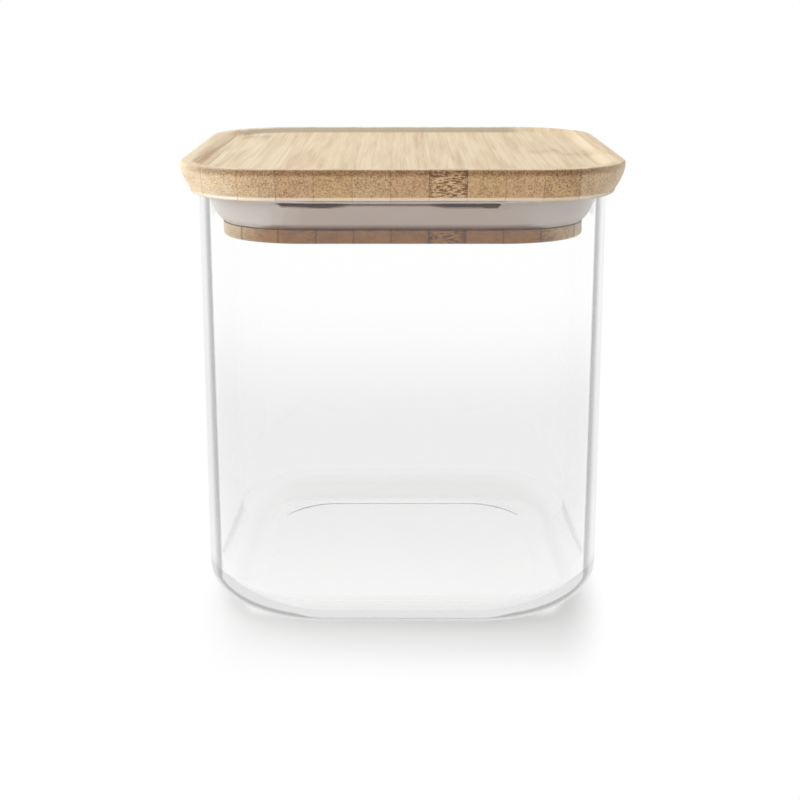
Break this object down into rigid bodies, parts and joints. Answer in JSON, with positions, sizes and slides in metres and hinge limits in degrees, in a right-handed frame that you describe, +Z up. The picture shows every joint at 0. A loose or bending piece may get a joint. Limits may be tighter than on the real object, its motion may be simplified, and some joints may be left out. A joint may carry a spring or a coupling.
{
  "type": "food storage jar",
  "caption": "Square glass storage jar with soft corners, a laminated bamboo lid with a shallow stacking tray, and a silicone sealing ring.",
  "frame": {"origin": "on the surface that the jar stands on, under the middle of its base", "axes": "+Z up out of the jar's mouth; -Y is the front, where the lid shows the staves' end grain; the staves run along Y"},
  "size_m": [0.1056, 0.1056, 0.1129],
  "materials": {
    "jar_glass": "clear, polished",
    "lid_bamboo": "sanded and oiled",
    "seal_silicone": "milky, satin"
  },
  "bodies": {
    "jar": {"glass_jar": "jar_glass"},
    "lid": {"silicone_seal": "seal_silicone", "lid_stave_01": "lid_bamboo", "lid_stave_02": "lid_bamboo", "lid_stave_03": "lid_bamboo", "lid_stave_04": "lid_bamboo", "lid_stave_05": "lid_bamboo", "lid_stave_06": "lid_bamboo", "lid_stave_07": "lid_bamboo", "lid_stave_08": "lid_bamboo", "lid_stave_09": "lid_bamboo", "lid_stave_10": "lid_bamboo", "lid_stave_11": "lid_bamboo", "lid_stave_12": "lid_bamboo", "lid_stave_13": "lid_bamboo"}
  },
  "joints": [
    {"name": "lid_lift", "type": "slide", "parent": "jar", "child": "lid", "axis": [0, 0, 1], "range_m": [0, 0.12]}
  ]
}
